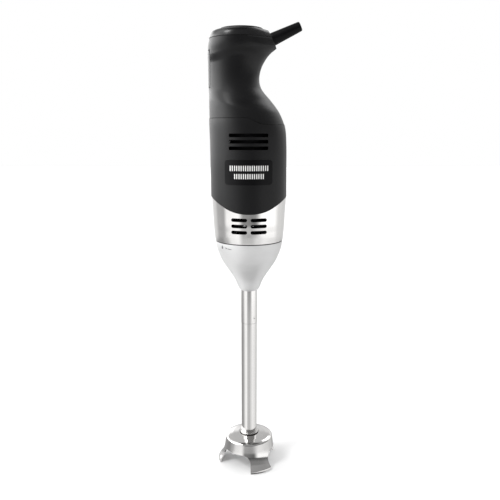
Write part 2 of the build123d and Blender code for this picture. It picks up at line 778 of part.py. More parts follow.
# ---- drive dog ---------------------------------------------------------------------------
def dogs(start, z0, z1):
    return total([sector(5.5, DOG_R - 0.1, start + 90 * i, 40.0, z0, z1) for i in range(4)])


def motor_coupling():
    body = disc(DOG_R, 252.0, 256.0) + disc(8.0, 256.0, 260.2) + dogs(-20.0, 246.0, 252.5)
    return body - disc(MOTOR_SHAFT_R, 250.0, 262.0)


def shaft_coupling():
    body = disc(DOG_R, 240.0, 244.5) + disc(7.0, 232.0, 240.0) + dogs(25.0, 244.0, 250.5)
    return body - disc(DRIVE_R, 230.0, 243.0)


# ---- arm ---------------------------------------------------------------------------------
def arm_cone():
    outer = curve_xz(CONE_OUTER)
    rest = line_xz([
        (35.2, 254.0), (34.9, 254.0), (34.9, 253.2), (33.0, 253.2), (33.0, 254.0), (31.5, 254.0),
        (31.5, 265.0), (29.3, 265.0), (29.3, 241.5), (26.7, 235.4), (22.7, 228.6), (18.6, 223.0),
        (11.0, 223.0), (11.0, 220.6), (9.5, 220.0), (9.5, 214.0), (8.0, 214.0), (8.0, 212.0),
        (8.65, 212.0), (8.65, 199.7), (8.66, 199.7),
    ])
    body = lathe(outer, rest)
    for a in LUG_ANGLES:
        body = body + sector(31.0, 33.5, a - LUG_DEG / 2, LUG_DEG, 259.0, 262.0)
    return body


def cone_seal():
    return turned([(33.0, 253.2), (34.9, 253.2), (34.9, 254.2), (34.6, 254.5), (33.3, 254.5), (33.0, 254.2)])


def arm_sleeve():
    body = ring(SLEEVE_R, TUBE_BORE_R, TUBE_SEAM_Z + 0.15, 212.0)
    a = math.radians(-49.0)
    x = (SLEEVE_R + 2.2) * math.cos(a)
    y = (SLEEVE_R + 2.2) * math.sin(a)
    return body - Pos(x, y, 169.5) * Sphere(2.6)


def arm_tube():
    return ring(TUBE_R, TUBE_BORE_R, 23.0, TUBE_SEAM_Z - 0.15)


def tube_spigot():
    return ring(TUBE_BORE_R, 4.6, 150.0, 178.0)


def tube_collar():
    return ring(10.0, TUBE_R, 33.5, 34.8)


def arch_cutter(centre_deg):
    """Opening between two legs, with rounded upper corners."""
    half = math.radians(ARCH_HALF_DEG)
    near = 18.0
    far = 50.0
    outline = Polyline(
        (near * math.cos(half), -near * math.sin(half)), (far * math.cos(half), -far * math.sin(half)),
        (far * math.cos(half), far * math.sin(half)), (near * math.cos(half), near * math.sin(half)),
        close=True,
    )
    body = extrude(make_face(outline.edges()), amount=ARCH_TOP_Z + 4.0)
    sides = [e for e in body.edges().group_by(Axis.Z)[-1] if abs(e.length - (far - near)) < 0.5]
    body = fillet(sides, ARCH_CORNER_R)
    return Rot(0, 0, centre_deg) * Pos(0, 0, -4.0) * body


def blade_guard():
    """Bell with three legs; the arm tube is welded into its hub."""
    top = line_xz([(TUBE_R, 33.5), (12.0, 33.4), (18.0, 32.6), (22.5, 31.6)])
    shoulder = curve_xz([(22.5, 31.6), (24.6, 30.8), (25.8, 29.8), (26.2, 28.6)])
    outer = curve_xz(BELL_OUTER)
    bead = curve_xz([(34.5, 3.2), (34.6, 2.1), (34.2, 0.9), (33.7, 0.0)])
    foot = line_xz([(33.7, 0.0), (32.5, 0.0), (32.4, 1.6)])
    inner = curve_xz(BELL_INNER)
    hub = line_xz([(24.4, 27.4), (22.4, 29.6), (12.0, 31.2), (11.2, 30.0), (10.6, 22.4), (TUBE_R, 22.4),
                   (TUBE_R, 33.5)])
    body = lathe(top, shoulder, outer, bead, foot, inner, hub)
    for a in LEG_ANGLES:
        body = body - arch_cutter(a + 60.0)
    return body


def lower_bush():
    return ring(TUBE_BORE_R, DRIVE_R + RUN_GAP, 30.0, 44.0)


def shaft_seal():
    return ring(TUBE_BORE_R, 5.0, 23.4, 29.0) + ring(6.0, DRIVE_R + 0.3, 25.4, 27.0)


def shaft_bearing():
    return ball_bearing(9.5, DRIVE_R + RUN_GAP, 214.0, 220.0)


def drive_shaft():
    return disc(DRIVE_R, 5.0, 243.0)


def blade_arm(lift):
    """One swept arm of the blade, its tip raised or lowered."""
    outline = Polyline(
        (3.0, -4.4), (12.0, -5.0), (20.0, -1.0), (19.0, 2.6), (10.0, 4.6), (3.0, 4.4), close=True
    )
    plate = extrude(make_face(outline.edges()), amount=1.6)
    return Pos(0, 0, 10.4) * Rot(0, -lift, 0) * Pos(0, 0, -0.8) * plate


def blade():
    hub = disc(6.2, 8.6, 13.4)
    arms = blade_arm(12.0) + Rot(0, 0, 180) * blade_arm(-10.0)
    return hub + arms - disc(DRIVE_R, 0, 20)


def blade_nut():
    body = disc(4.6, 4.2, 8.6)
    dome = Pos(0, 0, 4.2) * Sphere(4.6) & block(-10, 10, -10, 10, 2.2, 4.3)
    flats = body & extrude(RegularPolygon(4.9, 6), amount=20)
    return flats + dome - disc(DRIVE_R, 5.0, 20.0)


# ---- write every node --------------------------------------------------------------------
front_half, rear_half = handle_halves()
save(front_half, "handle_front_half")
save(rear_half, "handle_rear_half")
save(handle_screws(), "handle_screws")
save(top_cap(), "top_cap")
save(cap_screws(), "cap_screws")
save(speed_dial(), "speed_dial")
save(potentiometer(), "speed_potentiometer")
save(potentiometer_shaft(), "potentiometer_shaft")
save(trigger(), "trigger")
save(trigger_pin(), "trigger_pin")
save(trigger_spring(), "trigger_spring")
save(microswitch(), "microswitch")
save(switch_plunger(), "switch_plunger")
save(control_board(), "control_board")
save(board_components(), "board_components")
save(cord_boot(), "cord_boot")
save(cord_clamp(), "cord_clamp")
save(cord_clamp_screws(), "cord_clamp_screws")
save(wiring(), "wiring")
save(body_shell(), "body_shell")
save(label_plate(), "label_plate")
save(steel_housing(), "steel_housing")
save(lock_ring(), "lock_ring")
save(lower_bracket(), "lower_bracket")
save(upper_bracket(), "upper_bracket")
save(ball_bearing(BEARING_R, MOTOR_SHAFT_R + RUN_GAP, 262.0, 269.0), "lower_motor_bearing")
save(ball_bearing(BEARING_R, MOTOR_SHAFT_R + RUN_GAP, 354.0, 361.0), "upper_motor_bearing")
save(motor_shaft(), "motor_shaft")
save(armature_core(), "armature_core")
save(armature_winding(), "armature_winding")
save(commutator(), "commutator")
save(cooling_fan(), "cooling_fan")
save(motor_coupling(), "motor_coupling")
save(stator_core(), "stator_core")
save(field_coils(), "field_coils")
save(brush_holders(), "brush_holders")
save(brush(-1), "brush_front")
save(brush(1), "brush_rear")
save(brush_spring(-1), "brush_spring_front")
save(brush_spring(1), "brush_spring_rear")
save(motor_screws(), "motor_screws")
save(arm_cone(), "arm_cone")
save(cone_seal(), "cone_seal")
save(arm_sleeve(), "arm_sleeve")
save(arm_tube(), "arm_tube")
save(tube_spigot(), "tube_spigot")
save(tube_collar(), "tube_collar")
save(blade_guard(), "blade_guard")
save(lower_bush(), "lower_bush")
save(shaft_seal(), "shaft_seal")
save(shaft_bearing(), "shaft_bearing")
save(drive_shaft(), "drive_shaft")
save(shaft_coupling(), "shaft_coupling")
save(blade(), "blade")
save(blade_nut(), "blade_nut")
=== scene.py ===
import json
import math

import bmesh
import bpy
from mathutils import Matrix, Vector
from mathutils.bvhtree import BVHTree


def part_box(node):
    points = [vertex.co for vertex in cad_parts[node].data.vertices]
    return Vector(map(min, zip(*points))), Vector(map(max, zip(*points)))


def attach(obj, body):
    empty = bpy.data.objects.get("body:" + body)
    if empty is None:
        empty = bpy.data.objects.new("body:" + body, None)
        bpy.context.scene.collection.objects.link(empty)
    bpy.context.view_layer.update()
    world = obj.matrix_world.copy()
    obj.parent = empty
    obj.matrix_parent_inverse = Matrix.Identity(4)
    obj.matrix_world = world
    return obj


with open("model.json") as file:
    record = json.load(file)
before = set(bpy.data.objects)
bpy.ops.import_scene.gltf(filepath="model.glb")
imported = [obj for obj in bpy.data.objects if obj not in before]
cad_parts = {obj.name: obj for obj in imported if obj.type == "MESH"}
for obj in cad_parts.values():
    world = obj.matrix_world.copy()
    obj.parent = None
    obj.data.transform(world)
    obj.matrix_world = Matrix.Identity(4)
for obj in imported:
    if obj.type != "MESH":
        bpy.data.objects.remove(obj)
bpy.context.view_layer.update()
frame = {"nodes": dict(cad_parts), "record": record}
NODES = frame["nodes"]

# The camera looks level at the body and down at the foot; metres, degrees and millimetres.
CAMERA_DISTANCE = 0.630
CAMERA_HEIGHT = 0.3655
CAMERA_SIDE = 0.001
CAMERA_PITCH = 11.0
LENS = 43.2
SENSOR = 36.0

# Where details sit on the object, in metres.
LABEL_ROWS = ((9, 0.3292, 0.0052), (7, 0.3214, 0.0050))
LABEL_PITCH = 0.00435
LABEL_PAIR_GAP = 0.0021
LABEL_STROKE = 0.0010
CAP_SEAM_Z = 0.45828
CAP_CENTRE_X = -0.008
CONE_SEAM_Z = 0.25455
GRIP_CENTRE_X = -0.002
GRIP_STEP_X = (-0.0046, 0.0155)
GRIP_STEP_Z = (0.38045, 0.37415)
WELD_RADIUS = 0.00905
WELD_Z = 0.0349
COLLAR_GAP_RADIUS = 0.01005
COLLAR_GAP_Z = 0.03375
DIAL_MARKS = 10
DIAL_MARK_INSET = 0.0022
RAY_START = 0.12
RAY_LENGTH = 0.6

# Padlock body, its shackle, an arrow head and a bar on the cone, as (x, z) corners.
LOCK_SHAPES = (
    ((-0.0282, 0.2486), (-0.0268, 0.2486), (-0.0268, 0.2508), (-0.0282, 0.2508)),
    ((-0.0279, 0.2508), (-0.0271, 0.2508), (-0.0271, 0.2520), (-0.0279, 0.2520)),
    ((-0.0240, 0.2488), (-0.0226, 0.2496), (-0.0226, 0.2497), (-0.0240, 0.2508)),
    ((-0.0222, 0.2491), (-0.0180, 0.2488), (-0.0180, 0.2494), (-0.0222, 0.2498)),
)

# Faces of a bar whose corners are numbered low ring first.
BAR_FACES = ((0, 1, 3, 2), (4, 6, 7, 5), (0, 4, 5, 1), (2, 3, 7, 6), (0, 2, 6, 4), (1, 5, 7, 3))

WHITE = (1.0, 1.0, 1.0, 1.0)


# ---- shader helpers ----------------------------------------------------------------------
class Graph:
    """A node tree with short ways to add nodes."""

    def __init__(self, tree):
        self.tree = tree
        self.nodes = tree.nodes

    def link(self, source, target):
        self.tree.links.new(source, target)

    def remap(self, value, low, high, new_low, new_high, smooth=False):
        node = self.nodes.new("ShaderNodeMapRange")
        if smooth:
            node.interpolation_type = "SMOOTHSTEP"
        node.inputs["From Min"].default_value = low
        node.inputs["From Max"].default_value = high
        node.inputs["To Min"].default_value = new_low
        node.inputs["To Max"].default_value = new_high
        self.link(value, node.inputs["Value"])
        return node.outputs["Result"]

    def math(self, operation, a, b=0.0):
        node = self.nodes.new("ShaderNodeMath")
        node.operation = operation
        for socket, value in zip(node.inputs, (a, b)):
            if isinstance(value, (int, float)):
                socket.default_value = value
            else:
                self.link(value, socket)
        return node.outputs["Value"]

    def blend(self, factor, first, second):
        """Two numbers mixed by a factor."""
        node = self.nodes.new("ShaderNodeMix")
        sockets = (node.inputs[0], node.inputs[2], node.inputs[3])
        for socket, value in zip(sockets, (factor, first, second)):
            if isinstance(value, (int, float)):
                socket.default_value = value
            else:
                self.link(value, socket)
        return node.outputs[0]

    def ramp(self, value, table):
        """Brightness by direction, from a table of azimuths in degrees and levels."""
        node = self.nodes.new("ShaderNodeValToRGB")
        node.color_ramp.interpolation = "EASE"
        stops = node.color_ramp.elements
        stops.remove(stops[1])
        stops[0].position = 0.0
        stops[0].color = (table[0][1], table[0][1], table[0][1], 1)
        for azimuth, level in table[1:]:
            stops.new((azimuth + 180) / 360).color = (level, level, level, 1)
        self.link(value, node.inputs["Fac"])
        return node.outputs["Color"]

    def split(self, vector):
        node = self.nodes.new("ShaderNodeSeparateXYZ")
        self.link(vector, node.inputs["Vector"])
        return node.outputs


class Shader(Graph):
    """A Principled material and the nodes that feed it."""

    def __init__(self, name, color, roughness, metallic=0.0):
        self.mat = bpy.data.materials.new(name)
        self.mat.use_nodes = True
        super().__init__(self.mat.node_tree)
        self.bsdf = self.nodes["Principled BSDF"]
        self.set("Base Color", (*color, 1.0))
        self.set("Roughness", roughness)
        self.set("Metallic", metallic)
        self.coords = self.nodes.new("ShaderNodeTexCoord").outputs["Object"]
        self.last_bump = None

    def set(self, socket, value):
        self.bsdf.inputs[socket].default_value = value
        return self

    def scaled(self, scale):
        """Object coordinates stretched along each axis."""
        mapping = self.nodes.new("ShaderNodeMapping")
        mapping.inputs["Scale"].default_value = scale
        self.link(self.coords, mapping.inputs["Vector"])
        return mapping.outputs["Vector"]

    def noise(self, scale, detail=3.0, roughness=0.55):
        node = self.nodes.new("ShaderNodeTexNoise")
        node.inputs["Scale"].default_value = 1.0
        node.inputs["Detail"].default_value = detail
        node.inputs["Roughness"].default_value = roughness
        self.link(self.scaled(scale), node.inputs["Vector"])
        return node.outputs["Fac"]

    def cells(self, scale, feature="F1"):
        node = self.nodes.new("ShaderNodeTexVoronoi")
        node.feature = feature
        node.inputs["Scale"].default_value = 1.0
        self.link(self.scaled(scale), node.inputs["Vector"])
        return node.outputs["Distance"]

    def mixed(self, factor, first, second):
        """Two colours mixed by a factor."""
        node = self.nodes.new("ShaderNodeMix")
        node.data_type = "RGBA"
        self.link(factor, node.inputs[0])
        node.inputs[6].default_value = (*first, 1.0)
        node.inputs[7].default_value = (*second, 1.0)
        return node.outputs[2]

    def color_from(self, factor, first, second):
        self.link(self.mixed(factor, first, second), self.bsdf.inputs["Base Color"])
        return self

    def roughness_from(self, factor, low, high, in_low=0.3, in_high=0.7):
        self.link(self.remap(factor, in_low, in_high, low, high), self.bsdf.inputs["Roughness"])
        return self

    def bump(self, height, strength, depth):
        """Adds one more layer of relief; depth is in metres."""
        node = self.nodes.new("ShaderNodeBump")
        node.inputs["Strength"].default_value = strength
        node.inputs["Distance"].default_value = depth
        self.link(height, node.inputs["Height"])
        if self.last_bump is not None:
            self.link(self.last_bump, node.inputs["Normal"])
        self.last_bump = node.outputs["Normal"]
        self.link(self.last_bump, self.bsdf.inputs["Normal"])
        return self


def even(scale):
    return (scale, scale, scale)


def moulded_plastic(name, color, roughness, grain, relief, gloss):
    """Spark-eroded moulded plastic: fine grain, faint patches and a slightly uneven sheen."""
    m = Shader(name, color, roughness)
    patches = m.noise(even(22.0), 2.0)
    m.color_from(m.remap(patches, 0.35, 0.65, 0.0, 1.0), color, tuple(c * 1.35 for c in color))
    grain_map = m.noise(even(grain), 2.0, 0.5)
    smears = m.noise((55.0, 55.0, 18.0), 3.0)
    m.roughness_from(m.math("ADD", m.math("MULTIPLY", grain_map, 0.4), m.math("MULTIPLY", smears, 0.6)),
                     roughness - 0.05, roughness + 0.06)
    m.bump(grain_map, 0.35, relief)
    m.bump(m.cells(even(grain * 0.55)), 0.2, relief)
    m.set("Specular IOR Level", gloss)
    return m


def turned_steel(name, color, roughness, line_scale, relief, spread):
    """Steel finished on a lathe: fine lines round the axis, long faint scratches and patches."""
    m = Shader(name, color, roughness, metallic=1.0)
    lines = m.noise((6.0, 6.0, line_scale), 4.0, 0.7)
    fine = m.noise((40.0, 40.0, line_scale * 3.2), 2.0, 0.6)
    patches = m.noise(even(30.0), 2.0)
    m.color_from(m.remap(m.math("MULTIPLY", lines, patches), 0.1, 0.45, 0.0, 1.0),
                 tuple(c * 0.93 for c in color), color)
    m.roughness_from(m.math("ADD", m.math("MULTIPLY", lines, 0.55), m.math("MULTIPLY", patches, 0.45)),
                     roughness - spread, roughness + spread)
    if relief:
        m.bump(m.math("ADD", lines, m.math("MULTIPLY", fine, 0.5)), 0.3, relief)
    return m


def blasted_steel(name, color, roughness):
    """Bead-blasted steel: a close satin stipple with faint handling marks."""
    m = Shader(name, color, roughness, metallic=0.5)
    stipple = m.noise(even(3200.0), 2.0, 0.6)
    marks = m.noise((30.0, 30.0, 90.0), 4.0, 0.65)
    m.color_from(m.remap(marks, 0.3, 0.7, 0.0, 1.0), tuple(c * 0.92 for c in color), color)
    m.roughness_from(m.math("ADD", m.math("MULTIPLY", stipple, 0.35), m.math("MULTIPLY", marks, 0.65)),
                     roughness - 0.05, roughness + 0.06)
    m.bump(stipple, 0.45, 0.00002)
    return m


def polished_steel(name, color, roughness):
    """Buffed steel with hairline scratches running every way and faint smudges."""
    m = Shader(name, color, roughness, metallic=1.0)
    hair = m.noise((900.0, 60.0, 60.0), 2.0, 0.7)
    cross = m.noise((60.0, 900.0, 60.0), 2.0, 0.7)
    smudge = m.noise(even(70.0), 3.0)
    m.color_from(m.remap(smudge, 0.3, 0.7, 0.0, 1.0), tuple(c * 0.94 for c in color), color)
    m.roughness_from(smudge, roughness - 0.02, roughness + 0.05)
    m.bump(m.math("ADD", hair, cross), 0.12, 0.000004)
    return m


def rubber(name, color, roughness):
    """Moulded rubber: dull, with a dusty bloom and a very fine grain."""
    m = Shader(name, color, roughness)
    bloom = m.noise(even(90.0), 4.0, 0.6)
    m.color_from(m.remap(bloom, 0.35, 0.75, 0.0, 1.0), color, tuple(c * 1.6 + 0.001 for c in color))
    m.roughness_from(bloom, roughness - 0.07, roughness + 0.08)
    m.bump(m.noise(even(1800.0), 2.0), 0.3, 0.00003)
    m.set("Specular IOR Level", 0.12)
    return m


def wound_copper(name, color):
    """Enamelled wire laid side by side, varnished."""
    m = Shader(name, color, 0.3, metallic=0.9)
    wave = m.nodes.new("ShaderNodeTexWave")
    wave.inputs["Scale"].default_value = 260.0
    wave.inputs["Distortion"].default_value = 1.5
    wave.bands_direction = "DIAGONAL"
    m.link(m.coords, wave.inputs["Vector"])
    m.color_from(wave.outputs["Fac"], tuple(c * 0.45 for c in color), color)
    m.bump(wave.outputs["Fac"], 0.6, 0.0002)
    m.set("Coat Weight", 0.4)
    return m


def laminated_steel(name, color):
    """A stack of thin pressed sheets, seen as fine level lines."""
    m = Shader(name, color, 0.5, metallic=0.8)
    sheets = m.noise((3.0, 3.0, 2200.0), 1.0)
    stain = m.noise(even(120.0), 3.0)
    m.color_from(stain, tuple(c * 0.6 for c in color), color)
    m.roughness_from(stain, 0.42, 0.6)
    m.bump(sheets, 0.6, 0.00012)
    return m


def printed_ink(name, color):
    """Screen print with a slightly worn, uneven surface."""
    m = Shader(name, color, 0.5)
    wear = m.noise(even(1500.0), 3.0)
    m.color_from(m.remap(wear, 0.3, 0.8, 0.0, 1.0), color, tuple(c * 0.9 for c in color))
    m.roughness_from(wear, 0.42, 0.58)
    m.bump(wear, 0.15, 0.00002)
    return m


def circuit_board(name, color):
    m = Shader(name, color, 0.3)
    tracks = m.cells(even(420.0), "DISTANCE_TO_EDGE")
    m.color_from(m.remap(tracks, 0.04, 0.08, 1.0, 0.0), color, tuple(c * 1.8 + 0.01 for c in color))
    m.bump(tracks, 0.3, 0.00005)
    m.set("Coat Weight", 0.3)
    return m


# ---- materials by record slot ------------------------------------------------------------
def grip_relief(m):
    """Hand recess between the head band and the bulge over the body, with soft edges."""
    place = m.split(m.coords)
    edge = m.remap(place["X"], -0.036, -0.007, 0.4415, 0.4475, True)
    band = m.remap(m.math("SUBTRACT", place["Z"], edge), -0.0075, 0.0020, 0.0, 1.0, True)
    foot = m.remap(place["X"], -0.040, 0.0, 0.411, 0.400, True)
    bulge = m.remap(m.math("SUBTRACT", place["Z"], foot), -0.014, 0.0, 1.0, 0.0, True)
    m.bump(m.math("MAXIMUM", band, bulge), 1.0, 0.0020)


# Slot: material name, colour, roughness, grain per metre, relief in metres, specular level.
PLASTICS = {
    "grip_plastic": ("soft_grip", (0.003, 0.003, 0.0035), 0.38, 2300.0, 0.00006, 0.24),
    "body_plastic": ("body_satin", (0.004, 0.004, 0.0045), 0.38, 2600.0, 0.00004, 0.24),
    "cap_plastic": ("cap_satin", (0.002, 0.002, 0.0025), 0.28, 2600.0, 0.00003, 0.36),
    "dial_plastic": ("dial_matte", (0.003, 0.003, 0.0035), 0.45, 2200.0, 0.00004, 0.14),
    "trigger_plastic": ("trigger_satin", (0.012, 0.012, 0.013), 0.38, 2600.0, 0.00003, 0.24),
    "inner_plastic": ("inner_moulding", (0.006, 0.006, 0.007), 0.6, 1500.0, 0.00005, 0.1),
    "dog_plastic": ("dog_moulding", (0.03, 0.03, 0.032), 0.5, 1500.0, 0.00004, 0.24),
    "label_print": ("label_film", (0.002, 0.002, 0.0025), 0.34, 3000.0, 0.00001, 0.12),
    "brush_carbon": ("carbon", (0.02, 0.02, 0.02), 0.6, 2500.0, 0.00006, 0.24),
    "board_parts": ("component_case", (0.02, 0.02, 0.024), 0.35, 2500.0, 0.00003, 0.24),
}
# Slot: material name, colour, roughness.
RUBBERS = {
    "boot_rubber": ("boot", (0.0015, 0.0015, 0.002), 0.42),
    "seal_rubber": ("seal", (0.008, 0.008, 0.008), 0.5),
    "lead_insulation": ("lead", (0.02, 0.02, 0.022), 0.45),
}
# Slot: material name, colour, roughness, lines per metre, relief in metres, roughness spread.
STAINLESS = (0.66, 0.652, 0.642)
METALS = {
    "housing_steel": ("housing_steel", STAINLESS, 0.11, 5200.0, 0.000002, 0.03),
    "tube_steel": ("tube_steel", STAINLESS, 0.13, 3600.0, 0.000001, 0.03),
    "blade_steel": ("blade_steel", (0.6, 0.6, 0.6), 0.25, 1500.0, 0.00001, 0.05),
    "shaft_steel": ("shaft_steel", (0.22, 0.22, 0.22), 0.3, 2500.0, 0.000005, 0.05),
    "bearing_steel": ("bearing_steel", (0.5, 0.5, 0.51), 0.16, 2500.0, 0.0, 0.05),
    "spring_steel": ("spring_steel", (0.4, 0.4, 0.42), 0.3, 2500.0, 0.0, 0.05),
    "screw_steel": ("screw_steel", (0.30, 0.30, 0.31), 0.32, 2500.0, 0.00001, 0.05),
    "lock_metal": ("lock_metal", (0.5, 0.5, 0.51), 0.3, 2500.0, 0.00001, 0.05),
    "bush_bronze": ("bush_bronze", (0.55, 0.33, 0.14), 0.35, 2000.0, 0.00001, 0.05),
    "commutator_copper": ("commutator", (0.6, 0.28, 0.14), 0.3, 2500.0, 0.00001, 0.05),
    "brush_brass": ("holder_brass", (0.6, 0.42, 0.16), 0.3, 2000.0, 0.00001, 0.05),
}


def make_materials():
    made = {slot: moulded_plastic(*values) for slot, values in PLASTICS.items()}
    grip_relief(made["grip_plastic"])
    made.update({slot: rubber(*values) for slot, values in RUBBERS.items()})
    made.update({slot: turned_steel(*values) for slot, values in METALS.items()})
    made["cone_steel"] = blasted_steel("cone_steel", (0.66, 0.66, 0.66), 0.46)
    made["guard_steel"] = polished_steel("guard_steel", (0.56, 0.552, 0.545), 0.07)
    made["core_steel"] = laminated_steel("laminations", (0.2, 0.2, 0.21))
    made["copper_wire"] = wound_copper("winding", (0.45, 0.16, 0.06))
    made["board"] = circuit_board("board_mask", (0.01, 0.07, 0.03))
    return made


def dress_cad_nodes(materials):
    for part in frame["record"]["subparts"]:
        obj = NODES[part["node"]]
        obj.data.materials.clear()
        obj.data.materials.append(materials[part["material_slot"]].mat)


# ---- helpers for added pieces ------------------------------------------------------------
def surface_of(*names):
    """Ray target made of the rest meshes of some CAD nodes."""
    verts = []
    faces = []
    for name in names:
        obj = NODES[name]
        base = len(verts)
        verts += [obj.matrix_world @ v.co for v in obj.data.vertices]
        faces += [[base + i for i in p.vertices] for p in obj.data.polygons]
    return BVHTree.FromPolygons(verts, faces)


def add_piece(name, mesh, body, material, smooth=True):
    obj = bpy.data.objects.new(name, mesh)
    bpy.context.collection.objects.link(obj)
    mesh.materials.append(material.mat)
    for poly in mesh.polygons:
        poly.use_smooth = smooth
    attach(obj, body)


def mesh_from(name, verts, faces):
    mesh = bpy.data.meshes.new(name)
    mesh.from_pydata(verts, [], faces)
    bm = bmesh.new()
    bm.from_mesh(mesh)
    bmesh.ops.recalc_face_normals(bm, faces=bm.faces)
    bm.to_mesh(mesh)
    bm.free()
    return mesh


def hit(target, origin, direction):
    """First point of a surface along a ray, or None."""
    return target.ray_cast(Vector(origin), Vector(direction).normalized(), RAY_LENGTH)[0]


def front_patch(target, corners, proud, depth, steps=4):
    """Thin plate wrapped onto a surface as seen from the front; corners are (x, z) in metres."""
    (ax, az), (bx, bz), (cx, cz), (dx, dz) = corners
    outer = []
    inner = []
    for i in range(steps + 1):
        u = i / steps
        for j in range(steps + 1):
            v = j / steps
            x = (ax * (1 - u) + bx * u) * (1 - v) + (dx * (1 - u) + cx * u) * v
            z = (az * (1 - u) + bz * u) * (1 - v) + (dz * (1 - u) + cz * u) * v
            point = hit(target, (x, -0.3, z), (0, 1, 0))
            if point is None:
                return [], []
            outer.append((point.x, point.y - proud, point.z))
            inner.append((point.x, point.y + depth, point.z))
    count = len(outer)
    side = steps + 1
    faces = []
    for i in range(steps):
        for j in range(steps):
            k = i * side + j
            faces.append((k, k + 1, k + side + 1, k + side))
            faces.append((count + k, count + k + side, count + k + side + 1, count + k + 1))
    rim = [i * side for i in range(side)] + [steps * side + j for j in range(1, side)]
    rim += [(steps - i) * side + steps for i in range(1, side)] + [steps - j for j in range(1, steps)]
    for a, b in zip(rim, rim[1:] + rim[:1]):
        faces.append((a, b, count + b, count + a))
    return outer + inner, faces


def add_marks(name, target, shapes, proud, depth, body, material):
    """Several wrapped plates joined in one piece."""
    verts = []
    faces = []
    for corners in shapes:
        more, rims = front_patch(target, corners, proud, depth)
        base = len(verts)
        verts += more
        faces += [tuple(base + i for i in face) for face in rims]
    add_piece(name, mesh_from(name, verts, faces), body, material, smooth=False)


def upright(x, z, width, height):
    return ((x, z), (x + width, z), (x + width, z + height), (x, z + height))


def label_shapes():
    """Two rows of plain upright strokes in pairs."""
    shapes = []
    for count, z, height in LABEL_ROWS:
        start = -LABEL_PITCH * count / 2 + 0.0006
        for i in range(count):
            x = start + i * LABEL_PITCH
            shapes.append(upright(x, z, LABEL_STROKE, height))
            shapes.append(upright(x + LABEL_PAIR_GAP, z, LABEL_STROKE, height))
    return shapes


def ribbon(name, target, centre_x, height_at, reach, proud, depth, body, material):
    """Near-black band that follows a seam right round the object: painted shade in the joint, and at
    the cone also the seal showing there.
    """
    steps = 180
    verts = []
    for i in range(steps):
        angle = 2 * math.pi * i / steps
        way = Vector((math.cos(angle), math.sin(angle), 0.0))
        z = height_at(centre_x + way.x * 0.03)
        found = hit(target, Vector((centre_x, 0, z)) + way * RAY_START, -way)
        z = height_at(found.x) if found else z
        for sign in (-1, 1):
            centre = Vector((centre_x, 0, z + sign * reach))
            found = hit(target, centre + way * RAY_START, -way)
            near = hit(target, centre + Vector((0, 0, sign * reach)) + way * RAY_START, -way)
            point = found or near or centre + way * 0.03
            verts.append(point + way * proud)
            verts.append(point - way * depth)
    faces = []
    for i in range(steps):
        a = 4 * i
        b = 4 * ((i + 1) % steps)
        faces += [(a, b, b + 2, a + 2), (a + 1, a + 3, b + 3, b + 1),
                  (a, a + 1, b + 1, b), (a + 2, b + 2, b + 3, a + 3)]
    add_piece(name, mesh_from(name, verts, faces), body, material)


def grip_seam_height(x):
    """Height of the stepped seam between body shell and handle."""
    f = min(1.0, max(0.0, (x - GRIP_STEP_X[0]) / (GRIP_STEP_X[1] - GRIP_STEP_X[0])))
    return GRIP_STEP_Z[0] + (GRIP_STEP_Z[1] - GRIP_STEP_Z[0]) * f * f * (3 - 2 * f)


def bead_ring(name, radius, z, minor, ripple, count, body, material):
    """Ring laid round the tube with the ripples of a weld run."""
    around = 360
    across = 12
    verts = []
    for i in range(around):
        a = 2 * math.pi * i / around
        size = minor * (1 + ripple * math.sin(a * count) + 0.4 * ripple * math.sin(a * 7 + 1))
        for j in range(across):
            b = 2 * math.pi * j / across
            r = radius + size * math.cos(b)
            verts.append((r * math.cos(a), r * math.sin(a), z + size * math.sin(b)))
    faces = []
    for i in range(around):
        n = (i + 1) % around
        for j in range(across):
            m = (j + 1) % across
            faces.append((i * across + j, n * across + j, n * across + m, i * across + m))
    add_piece(name, mesh_from(name, verts, faces), body, material)


def dial_marks(material):
    """Raised marks round the top of the dial, longer towards full speed."""
    low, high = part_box("speed_dial")
    cx = (low[0] + high[0]) / 2
    outer = (high[0] - low[0]) / 2 - DIAL_MARK_INSET
    verts = []
    faces = []
    for i in range(DIAL_MARKS):
        a = math.radians(-90 + 27 * (i + 0.5))
        length = 0.0012 + 0.00032 * i
        half = 0.0004
        out = Vector((math.cos(a), math.sin(a), 0))
        side = Vector((-math.sin(a), math.cos(a), 0))
        base = len(verts)
        for z in (high[2] - 0.0002, high[2] + 0.00012):
            for r, w in ((outer - length, half * 0.6), (outer, half)):
                for sign in (-1, 1):
                    point = Vector((cx, 0, 0)) + out * r + side * w * sign
                    verts.append((point.x, point.y, z))
        faces += [tuple(base + k for k in face) for face in BAR_FACES]
    mesh = mesh_from("dial_marks", verts, faces)
    add_piece("dial_marks", mesh, "dial", material, smooth=False)


